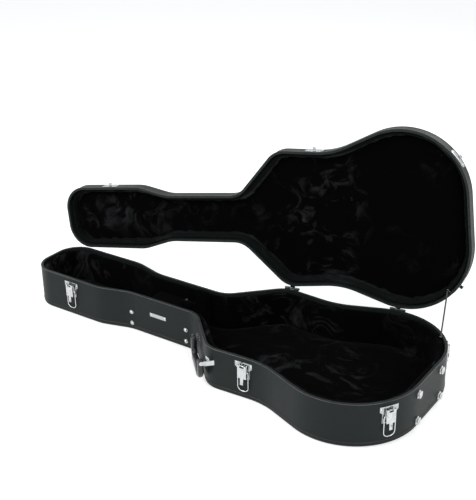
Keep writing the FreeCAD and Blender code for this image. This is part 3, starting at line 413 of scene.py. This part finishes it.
def stitches(name, inset, height, body, lid=False):
    """Stitches round the outline: each is an ellipsoid stretched along the run,
    centre + along * a cos u cos v + across * b sin u cos v + up * c sin v."""
    point, normal = case_loop(STITCH_PITCH)
    along = np.c_[-normal[:, 1], normal[:, 0]]
    u, v = np.meshgrid(np.linspace(0, 2 * np.pi, STITCH_SIDES, endpoint=False),
                       np.linspace(-1.35, 1.35, STITCH_RINGS))
    a, b, c = STITCH_HALF
    local = np.stack([a * np.cos(u) * np.cos(v), b * np.sin(u) * np.cos(v), c * np.sin(v)], -1)
    plan = ((point - normal * inset)[:, None, None] + along[:, None, None] * local[None, ..., :1]
            + normal[:, None, None] * local[None, ..., 1:2])
    rise = np.broadcast_to(height + local[None, ..., 2:], plan.shape[:3] + (1,))
    points = np.concatenate([plan, rise], -1).reshape(-1, 3) * MM
    if lid:
        points = opened(points)
    ring = np.arange(STITCH_SIDES * STITCH_RINGS).reshape(STITCH_RINGS, STITCH_SIDES)
    side = np.stack([ring[:-1], np.roll(ring[:-1], -1, 1), np.roll(ring[1:], -1, 1), ring[1:]], -1)
    start = np.arange(len(point))[:, None] * ring.size
    quads = (side.reshape(-1, 4)[None] + start[..., None]).reshape(-1, 4)
    caps = np.vstack([ring[0][::-1] + start, ring[-1] + start])
    mesh = bpy.data.meshes.new(name)
    mesh.from_pydata(points.tolist(), [], quads.tolist() + caps.tolist())
    mesh.polygons.foreach_set("use_smooth", np.ones(len(mesh.polygons), bool))
    link(name, mesh, thread, body)


stitches("lid_stitching", STITCH_INSET, LID_TOP + STITCH_PROUD, "case_lid", lid=True)

# ------------------------------------------------------------------ plush linings
# Foam pads glued inside the walls, on the floor and in the lid, covered in crushed black
# plush. Each starts as the fitted block and is blown up a little, so its edges round over.
PILE = (0.0009, 0.0009, 0.001)
PILE_PAINTED_LIT = (0.006, 0.0066, 0.0068)
PILE_CRUSHED = (0.04, 0.042, 0.044)


def plush_of(name, deep, crest):
    """Crushed plush: near black where the pile stands up, paler in wisps where it is pressed over."""
    material, tree, shader = finish_of(name, deep, 0.95, Specular_IOR_Level=0.02, Sheen_Weight=0.012,
                                       Sheen_Roughness=0.5)
    where = object_place(tree)
    warp = node_of(tree, "ShaderNodeTexNoise", Scale=6.0, Detail=2.0)
    wire(tree, where, warp.inputs["Vector"])
    bent = node_of(tree, "ShaderNodeMix", data_type="VECTOR")
    bent.inputs[0].default_value = 0.12
    wire(tree, where, bent.inputs[4])
    wire(tree, warp.outputs["Color"], bent.inputs[5])
    wisps = noise_of(tree, bent.outputs[1], 17.0, 9.0, 0.66, 1.1)
    patches = noise_of(tree, where, 5.0, 2.0)
    crushed = math_of(tree, "MULTIPLY", span_of(tree, wisps, 0.52, 0.76), span_of(tree, patches, 0.42, 0.6))
    nap = noise_of(tree, where, 1500.0, 2.0)
    lit = math_of(tree, "MULTIPLY", crushed, span_of(tree, nap, 0.3, 0.7, 0.55, 1.0))
    wire(tree, blend_of(tree, lit, deep, crest), shader.inputs["Base Color"])
    wire(tree, span_of(tree, crushed, 0.0, 1.0, 0.97, 0.6), shader.inputs["Roughness"])
    bump_of(tree, shader, math_of(tree, "MULTIPLY_ADD", wisps, 6.0, nap), 0.5, 0.0006)
    return material


plush = plush_of("crushed_plush", PILE, PILE_CRUSHED)
# Painted light: a paler copy of the plush for the lid's wall pads, whose tops catch light along the rim.
lit_edge_plush = plush_of("painted_lit_edge_plush", PILE_PAINTED_LIT, PILE_CRUSHED)

SOFT_FRAMES = 20
SOFT_PRESSURE = 4.0
CLOTH_STIFFNESS = 30.0
DENT_WAVE = 0.16


def evaluated(piece):
    """The mesh that the piece's modifiers make."""
    view = bpy.context.evaluated_depsgraph_get()
    return bpy.data.meshes.new_from_object(piece.evaluated_get(view), depsgraph=view)


def each_vertex(mesh, value):
    """A vertex value of three numbers, such as co or normal, as rows."""
    flat = np.zeros(len(mesh.vertices) * 3)
    mesh.vertices.foreach_get(value, flat)
    return flat.reshape(-1, 3)


def settle(piece, mesh):
    """Put a finished mesh on a piece and drop its modifiers."""
    old = piece.data
    piece.modifiers.clear()
    piece.data = mesh
    bpy.data.meshes.remove(old)


def rumple(points, depth):
    """Height of soft dents: the sum over four octaves k of sin(u + bend) sin(0.8 v - bend) / k,
    where u and v lean 2.4 k round the vertical and the bend is two slower sines of them."""
    x, y, z = (points * (2 * np.pi / DENT_WAVE)).T
    height = np.zeros(len(x))
    for octave, share in enumerate((1.0, 1.618, 2.618, 4.236), 1):
        lean = 2.4 * octave
        u = share * (x * math.cos(lean) + y * math.sin(lean) + 0.7 * z)
        v = share * (y * math.cos(lean) - x * math.sin(lean) - 0.4 * z)
        bend = 2.1 * np.sin(0.37 * v + lean) + 1.3 * np.sin(0.53 * u - lean)
        height += np.sin(u + bend) * np.sin(0.8 * v - bend) / octave
    return 0.6 * depth * height


def stuffed(name, node, voxel, cap, body, dent=0.5, rounds=6, cloth_of=plush):
    """A fitted block turned into a soft pad: even quads, edges eased by smoothing, blown up as
    cloth under pressure with no point more than cap from its start, then dented; sizes in mm."""
    mesh = nodes[node].data.copy()
    mesh.materials.clear()
    piece = link(name, mesh, cloth_of, body)
    shape = bmesh.new()
    shape.from_mesh(mesh)
    bmesh.ops.remove_doubles(shape, verts=shape.verts, dist=1e-6)
    shape.to_mesh(mesh)
    shape.free()
    even = piece.modifiers.new("even", "REMESH")
    even.mode = "VOXEL"
    even.voxel_size = voxel * MM
    even.use_smooth_shade = True
    ease = piece.modifiers.new("ease", "SMOOTH")
    ease.factor = 0.5
    ease.iterations = rounds
    settle(piece, evaluated(piece))
    start = each_vertex(piece.data, "co")
    cloth = piece.modifiers.new("cloth", "CLOTH")
    cloth.settings.use_pressure = True
    cloth.settings.uniform_pressure_force = SOFT_PRESSURE
    cloth.settings.effector_weights.gravity = 0.0
    cloth.settings.quality = 4
    cloth.settings.tension_stiffness = CLOTH_STIFFNESS
    cloth.settings.compression_stiffness = CLOTH_STIFFNESS
    cloth.point_cache.frame_start = 1
    cloth.point_cache.frame_end = SOFT_FRAMES
    for step in range(1, SOFT_FRAMES + 1):
        bpy.context.scene.frame_set(step)
    blown = each_vertex(evaluated(piece), "co") - start
    piece.modifiers.clear()
    far = np.linalg.norm(blown, axis=1, keepdims=True)
    start = start + blown * np.minimum(1, cap * MM / np.maximum(far, 1e-9))
    bpy.context.scene.frame_set(1)
    start = start + each_vertex(piece.data, "normal") * rumple(start, dent * MM)[:, None]
    piece.data.vertices.foreach_set("co", start.ravel())
    piece.data.polygons.foreach_set("use_smooth", np.ones(len(piece.data.polygons), bool))
    finer = piece.modifiers.new("finer", "SUBSURF")
    finer.levels = finer.render_levels = 1
    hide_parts(node)


stuffed("base_wall_quilt", "base_wall_padding", 6.0, 3.0, "case_base")
stuffed("base_floor_quilt", "base_floor_padding", 6.0, 4.0, "case_base", dent=0.9)
# The lid's wall pads wear the paler plush, a painted lit band along the rim.
stuffed("lid_wall_quilt", "lid_wall_padding", 3.6, 2.0, "case_lid", dent=0.3, rounds=4,
        cloth_of=lit_edge_plush)
stuffed("lid_panel_quilt", "lid_panel_padding", 6.0, 4.0, "case_lid", dent=1.4)

# ------------------------------------------------------------------ neck rest and small compartment
# A plush-covered block with a notch for the neck, and beyond it a box for small things
# with a cloth-hinged cover and a ribbon to lift it by.
stuffed("neck_rest_pad", "neck_support", 3.0, 1.4, "case_base", dent=0.35, rounds=4)
for end in ("front", "rear"):
    stuffed(f"{end}_board_cover", f"compartment_{end}_board", 2.0, 0.4, "case_base", dent=0.1, rounds=2)
stuffed("compartment_cover_pad", "compartment_lid", 1.5, 0.6, "compartment_cover", dent=0.2, rounds=2)

ribbon, tree, shader = finish_of("grosgrain", (0.012, 0.012, 0.014), 0.6, Sheen_Weight=0.1)
along = node_of(tree, "ShaderNodeUVMap", uv_map="along").outputs[0]
ribs = node_of(tree, "ShaderNodeTexWave", Scale=260.0)
wire(tree, along, ribs.inputs["Vector"])
bump_of(tree, shader, ribs.outputs["Fac"], 0.6, 0.0003)
wire(tree, blend_of(tree, ribs.outputs["Fac"], (0.006, 0.006, 0.007), (0.026, 0.026, 0.029)),
     shader.inputs["Base Color"])
tab_low, tab_high = map(np.array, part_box("compartment_tab"))
tab_middle = (tab_low + tab_high) / 2
RIBBON_ROOM = 0.001
RIBBON_RISE = (tab_high[2] - tab_low[2]) - RIBBON_ROOM
RIBBON_HALF = 0.008
RIBBON_THICK = 0.0005
LOOP_RADIUS = 0.0032
RIBBON_RIPPLE = 0.0006


def ribbon_loop():
    """A ribbon folded over into a loop: up one side, a half turn of LOOP_RADIUS, down the other;
    the sides draw together at the foot, and the width ripples as a sine."""
    turn = np.linspace(0, np.pi, 13)
    rise = np.linspace(0, RIBBON_RISE - LOOP_RADIUS, 12)[:-1]
    share = rise / rise[-1]
    pinch = LOOP_RADIUS * (0.25 + 0.75 * share ** 0.7)
    x = np.r_[pinch, LOOP_RADIUS * np.cos(turn), -pinch[::-1]]
    z = np.r_[rise, RIBBON_RISE - LOOP_RADIUS + LOOP_RADIUS * np.sin(turn), rise[::-1]]
    y = np.linspace(-RIBBON_HALF, RIBBON_HALF, 9)
    grid = np.zeros((len(x), len(y), 3))
    grid[..., 0] = tab_middle[0] + x[:, None] + RIBBON_RIPPLE * np.sin(y * 500)[None]
    grid[..., 1] = tab_middle[1] + y[None]
    grid[..., 2] = tab_low[2] + z[:, None]
    return grid, np.hypot(np.diff(x), np.diff(z)).sum()


grid, ribbon_length = ribbon_loop()
pull = surface("lift_ribbon", grid, ribbon, "compartment_cover", close_rows=False, close_cols=False)
thick = pull.modifiers.new("thick", "SOLIDIFY")
thick.thickness = RIBBON_THICK
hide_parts("compartment_tab")

# ------------------------------------------------------------------ plated hardware
# Latches, catches, hinges, brackets, feet, studs and the blank plate: pressed steel,
# polished and plated. The fitted pieces keep their shape, with their sharp corners broken.
def plating(name, bright, dim, patch):
    """Plated steel: bright where it is polished, dimmer and rougher in patches, and wavy
    as pressed sheet is."""
    material, tree, shader = finish_of(name, bright, 0.16, metallic=1.0)
    where = object_place(tree)
    dull = placed(tree, scuffs, where, Scale=patch, Amount=0.7)["Mask"]
    wire(tree, math_of(tree, "MULTIPLY_ADD", dull, 0.18, 0.13), shader.inputs["Roughness"])
    wire(tree, blend_of(tree, dull, bright, dim), shader.inputs["Base Color"])
    bump_of(tree, shader, noise_of(tree, where, 210.0, 2.0), 0.3, 0.0005)
    return material


plated = plating("bright_plate", (0.6, 0.615, 0.62), (0.34, 0.35, 0.355), 95.0)
sheet_plate = plating("satin_plate", (0.46, 0.475, 0.48), (0.24, 0.25, 0.255), 120.0)
wire_plate = plating("plated_wire", (0.66, 0.67, 0.68), (0.42, 0.43, 0.435), 160.0)
# Painted shade: the hinges and stay bosses sit in the shade of the gap between lid and base, so their
# plating is painted near black.
shaded_hinge_plate = plating("hinge_plate_painted_shade", (0.07, 0.072, 0.075), (0.03, 0.031, 0.032), 80.0)
brushed, tree, shader = finish_of("brushed_plate", (0.5, 0.5, 0.51), 0.3, metallic=1.0)
where = object_place(tree)
lines = node_of(tree, "ShaderNodeMapping")
lines.inputs["Scale"].default_value = (30, 30, 2600)
wire(tree, where, lines.inputs["Vector"])
brush = noise_of(tree, lines.outputs[0], 1.0, 3.0)
wire(tree, span_of(tree, brush, 0.3, 0.7, 0.22, 0.42), shader.inputs["Roughness"])
bump_of(tree, shader, brush, 0.15, 0.0001)

CORNER_BREAK = 0.22
BREAK_ABOVE_DEG = 35.0
CORNERED = ("latch_plate", "latch_lever", "lid_catch", "base_hinge_leaf", "lid_hinge_leaf",
            "handle_bracket", "lever_pin", "hinge_pin", "name_plate")
for name, item in nodes.items():
    if name.startswith(CORNERED):
        weld = item.modifiers.new("weld", "WELD")
        weld.merge_threshold = 1e-6
        corner = item.modifiers.new("corner", "BEVEL")
        corner.width = CORNER_BREAK * MM
        corner.segments = 2
        corner.limit_method = "ANGLE"
        corner.angle_limit = math.radians(BREAK_ABOVE_DEG)

# Each finish, with the first words of the names that wear it.
FINISHES = {wire_plate: ("latch_loop",), brushed: ("name_plate",),
            sheet_plate: ("latch_plate", "lid_catch"),
            shaded_hinge_plate: ("base_hinge", "lid_hinge", "hinge_pin", "base_stay_boss", "lid_stay_boss"),
            plated: ("latch_lever", "latch_rivets", "lever_pin", "catch_rivets", "handle_bracket",
                     "handle_rivets", "plate_rivets", "end_feet", "neck_studs")}
for material, starts in FINISHES.items():
    dress(material, *[name for name in nodes if name.startswith(starts)])

# ------------------------------------------------------------------ carrying handle
# A moulded strap that pivots on the two brackets, with a thicker grip sleeve whose
# inner side swells to fit the fingers.
SWING = JOINTS["handle_swing"]
handle_x = np.array(SWING["axis"])
handle_out = np.cross([0, 0, 1.0], handle_x)
handle_at = np.array(SWING["pos_m"]) / MM
HANDLE_HALF, HANDLE_REACH, HANDLE_BEND, HANDLE_HEEL = 54.0, 40.5, 20.0, 7.0
STRAP_HALF, STRAP_THICK, STRAP_END = 8.5, 7.0, 5.0
GRIP_HALF, GRIP_EXTRA, GRIP_SWELL = 38.0, 1.2, 5.0
GRIP_END, GRIP_SUNK = 3.0, 0.25


def hang(x, out, reach):
    """Handle coordinates (along the pivots, out of the wall, down) as metres in the case."""
    place = handle_at + x[..., None] * handle_x + out[..., None] * handle_out
    return (place + reach[..., None] * np.array([0, 0, -1.0])) * MM


def superellipse(count, power):
    """Unit ring with squared shoulders: sign(cos) |cos|^(2/power), the same for sin."""
    angle = np.linspace(0, 2 * np.pi, count, endpoint=False)
    c, s = np.cos(angle), np.sin(angle)
    return np.sign(c) * np.abs(c) ** (2 / power), np.sign(s) * np.abs(s) ** (2 / power)


def strap_line(count):
    """Centre line of the strap and its inward normal: leg, quarter turn, bar, quarter turn, leg."""
    straight = np.linspace(-HANDLE_HEEL, HANDLE_REACH - HANDLE_BEND, 24)
    turn = np.linspace(0, np.pi / 2, 18)[1:-1]
    bar = np.linspace(-HANDLE_HALF + HANDLE_BEND, HANDLE_HALF - HANDLE_BEND, count)
    centre = HANDLE_HALF - HANDLE_BEND
    x = np.r_[-HANDLE_HALF + 0 * straight, -centre - HANDLE_BEND * np.cos(turn), bar,
              centre + HANDLE_BEND * np.sin(turn), HANDLE_HALF + 0 * straight]
    z = np.r_[straight, HANDLE_REACH - HANDLE_BEND + HANDLE_BEND * np.sin(turn), HANDLE_REACH + 0 * bar,
              HANDLE_REACH - HANDLE_BEND + HANDLE_BEND * np.cos(turn), straight[::-1]]
    dx, dz = np.gradient(x), np.gradient(z)
    long = np.hypot(dx, dz)
    return x, z, dz / long, -dx / long


def strap_grid():
    """Ring carried along the strap: centre + inward normal * a cos + out * b sin, both
    radii shrinking as a quarter circle over each end."""
    x, z, inward_x, inward_z = strap_line(30)
    walked = np.r_[0, np.cumsum(np.hypot(np.diff(x), np.diff(z)))]
    end = np.minimum(walked, walked[-1] - walked) / STRAP_END
    round_off = np.sqrt(np.clip(1 - (1 - np.clip(end, 0, 1)) ** 2, 0.02, 1))
    ring_a, ring_b = superellipse(28, 2.5)
    a = STRAP_HALF * round_off[:, None] * ring_a
    b = STRAP_THICK * round_off[:, None] * ring_b
    return hang(x[:, None] + inward_x[:, None] * a, b, z[:, None] + inward_z[:, None] * a)


def grip_grid():
    """Ring carried along the bar; its inner half reaches further by a swell of
    (1 + cos) / 2 along the grip, and both ends round down on to the strap."""
    t = np.linspace(-1, 1, 61)
    swell = GRIP_SWELL * (0.5 + 0.5 * np.cos(np.pi * t))
    end = np.clip((1 - np.abs(t)) * GRIP_HALF / GRIP_END, 0, 1)
    extra = GRIP_EXTRA * np.sqrt(1 - (1 - end) ** 2) - GRIP_SUNK
    ring_a, ring_b = superellipse(36, 2.35)
    inner = STRAP_HALF + extra + swell
    outer = STRAP_HALF + extra
    a = np.where(ring_a[None] > 0, inner[:, None], outer[:, None]) * ring_a
    b = (STRAP_THICK + extra)[:, None] * ring_b
    x = np.broadcast_to((t * GRIP_HALF)[:, None], a.shape)
    return hang(x, b, HANDLE_REACH - a)


moulded, tree, shader = finish_of("moulded_black", (0.016, 0.017, 0.018), 0.34, Specular_IOR_Level=0.5)
where = object_place(tree)
skin = placed(tree, grain, where, Scale=1300.0, Unevenness=0.6)
handled = placed(tree, scuffs, where, Scale=45.0, Amount=0.5)["Mask"]
wire(tree, math_of(tree, "MULTIPLY_ADD", handled, 0.18, 0.27), shader.inputs["Roughness"])
wire(tree, blend_of(tree, handled, (0.013, 0.014, 0.015), (0.03, 0.031, 0.033)),
     shader.inputs["Base Color"])
bump_of(tree, shader, skin["Height"], 0.12, 0.0002)
strap = surface("handle_moulding", strap_grid(), moulded, "carry_handle", close_rows=False, cap=True)
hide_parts("handle_strap")
grip = surface("handle_grip_sleeve", grip_grid(), moulded, "carry_handle", close_rows=False, cap=True)
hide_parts("handle_grip")

# ------------------------------------------------------------------ lid stay
# A braided cord from a boss on the base's rim to one inside the lid; it stops the lid
# from falling back. The real cord folds away as the lid comes down; this one is fixed where the open lid
# holds it.
boss_low, boss_high = map(np.array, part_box("base_stay_boss"))
cord_low, cord_high = map(np.array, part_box("lid_stay"))
STAY_RADIUS = 0.0018
STAY_SAG = 0.0006
BOSS_RADIUS = 0.0036
BOSS_CLEARANCE = 0.0001
# The cord's far end lies just inside one corner of the box round the fitted cord.
END_INSET = np.array([0.0012, -0.0016, -0.0016])
eye = np.r_[(boss_low + boss_high)[:2] / 2, boss_high[2] - BOSS_RADIUS]
stop = np.array([cord_low[0], cord_high[1], cord_high[2]]) + END_INSET
lean = (stop - eye) / np.linalg.norm(stop - eye)
start = eye + lean * (BOSS_RADIUS + BOSS_CLEARANCE)
braid, tree, shader = finish_of("braided_cord", (0.03, 0.031, 0.034), 0.7, Sheen_Weight=0.1)
where = object_place(tree)
weave = node_of(tree, "ShaderNodeTexWave", Scale=330.0, bands_direction="DIAGONAL", Distortion=1.0)
wire(tree, where, weave.inputs["Vector"])
wire(tree, blend_of(tree, weave.outputs["Fac"], (0.012, 0.012, 0.014), (0.07, 0.071, 0.075)),
     shader.inputs["Base Color"])
bump_of(tree, shader, weave.outputs["Fac"], 0.7, 0.0003)


def stay_route(count):
    """The cord's centre line: start + share * (stop - start), sagging by STAY_SAG * sin(pi share)."""
    share = np.linspace(0, 1, count)
    line = start[None] + (stop - start)[None] * share[:, None]
    line[:, 2] -= STAY_SAG * np.sin(np.pi * share)
    return line


def stay_tube(line, radius, sides=14):
    """A ring of points square to the cord at each point of its line."""
    flat = np.cross(lean, [0, 0, 1.0])
    flat = flat / np.linalg.norm(flat)
    steep = np.cross(flat, lean)
    angle = np.linspace(0, 2 * np.pi, sides, endpoint=False)
    ring = np.cos(angle)[:, None] * flat + np.sin(angle)[:, None] * steep
    return line[:, None] + radius * ring[None]


route = stay_route(41)
stay = surface("lid_stay_cord", stay_tube(route, STAY_RADIUS), braid, None, close_rows=False, cap=True)
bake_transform(stay)
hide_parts("lid_stay")

# ------------------------------------------------------------------ floor, light and camera
# A pale paper floor that meets a white surround, with soft light from above and both
# sides; the camera looks down on the handle's side from beyond the wide end.
world = bpy.data.worlds.new("studio")
bpy.context.scene.world = world
world.use_nodes = True
tree = world.node_tree
background = tree.nodes["Background"]
background.inputs["Color"].default_value = (0.93, 0.95, 0.97, 1)
background.inputs["Strength"].default_value = 0.55
seen = node_of(tree, "ShaderNodeBackground", Color=(1, 1, 1, 1), Strength=1.0)
rays = tree.nodes.new("ShaderNodeLightPath")
through = math_of(tree, "MAXIMUM", math_of(tree, "MAXIMUM", rays.outputs["Is Camera Ray"],
                                           rays.outputs["Is Glossy Ray"]),
                  rays.outputs["Is Transmission Ray"])
choose = tree.nodes.new("ShaderNodeMixShader")
wire(tree, through, choose.inputs[0])
wire(tree, background.outputs[0], choose.inputs[1])
wire(tree, seen.outputs[0], choose.inputs[2])
wire(tree, choose.outputs[0], tree.nodes["World Output"].inputs[0])

FLOOR_HALF = 6.0
FLOOR_BELOW = 0.0005
FLOOR_GLOW = 0.52
floor_mesh = bpy.data.meshes.new("studio_floor")
floor_mesh.from_pydata([(x * FLOOR_HALF, y * FLOOR_HALF, -FLOOR_BELOW)
                        for x, y in ((-1, -1), (1, -1), (1, 1), (-1, 1))], [], [(0, 1, 2, 3)])
floor = bpy.data.objects.new("studio_floor", floor_mesh)
bpy.context.scene.collection.objects.link(floor)
paper = bpy.data.materials.new("pale_paper")
paper.use_nodes = True
tree = paper.node_tree
tree.nodes.clear()
plain = node_of(tree, "ShaderNodeBsdfDiffuse", Color=(0.8, 0.8, 0.8, 1))
glow = node_of(tree, "ShaderNodeEmission", Color=(1, 1, 1, 1))
rays = tree.nodes.new("ShaderNodeLightPath")
through = math_of(tree, "MAXIMUM", rays.outputs["Is Camera Ray"], rays.outputs["Is Glossy Ray"])
wire(tree, math_of(tree, "MULTIPLY", through, FLOOR_GLOW), glow.inputs["Strength"])
sum_of = tree.nodes.new("ShaderNodeAddShader")
wire(tree, plain.outputs[0], sum_of.inputs[0])
wire(tree, glow.outputs[0], sum_of.inputs[1])
wire(tree, sum_of.outputs[0], tree.nodes.new("ShaderNodeOutputMaterial").inputs[0])
floor_mesh.materials.append(paper)


def soft_box(name, place, aim, size, power):
    """A square lamp at a place, turned to face a point."""
    data = bpy.data.lights.new(name, "AREA")
    data.size = size
    data.energy = power
    lamp = bpy.data.objects.new(name, data)
    bpy.context.scene.collection.objects.link(lamp)
    away = np.subtract(place, aim)
    lamp.location = place
    lamp.rotation_euler = (math.acos(away[2] / np.linalg.norm(away)), 0,
                           math.atan2(away[1], away[0]) + math.pi / 2)


soft_box("key", (-1.2, -1.8, 2.2), (0, 0, 0.1), 1.4, 38)
soft_box("fill", (2.2, -1.2, 1.4), (0, 0, 0.2), 1.6, 22)
soft_box("back", (0.6, 2.2, 1.8), (0, 0.2, 0.3), 1.4, 20)

# Angles in radians, the place in metres, the lens in millimetres.
AZIMUTH, ELEVATION, ROLL = 0.607, 0.438, -0.016
CAMERA_PLACE = (1.2303, -1.6913, 1.2298)
CAMERA_LENS = 73.86
CAMERA_SHIFT = (0.0013, 0.0042)
camera_data = bpy.data.cameras.new("camera")
camera_data.lens = CAMERA_LENS
camera_data.sensor_width = 36.0
camera_data.sensor_fit = "HORIZONTAL"
camera_data.shift_x, camera_data.shift_y = CAMERA_SHIFT
camera_data.clip_end = 30.0
camera = bpy.data.objects.new("camera", camera_data)
bpy.context.scene.collection.objects.link(camera)
bpy.context.scene.camera = camera
right = np.array([math.cos(AZIMUTH), math.sin(AZIMUTH), 0])
ahead = np.array([-math.sin(AZIMUTH) * math.cos(ELEVATION), math.cos(AZIMUTH) * math.cos(ELEVATION),
                  -math.sin(ELEVATION)])
above = np.cross(right, ahead)
side = right * math.cos(ROLL) + above * math.sin(ROLL)
top = -right * math.sin(ROLL) + above * math.cos(ROLL)
camera.matrix_world = Matrix([*np.column_stack([side, top, -ahead, CAMERA_PLACE]).tolist(), [0, 0, 0, 1]])
bpy.context.scene.view_settings.view_transform = "Standard"
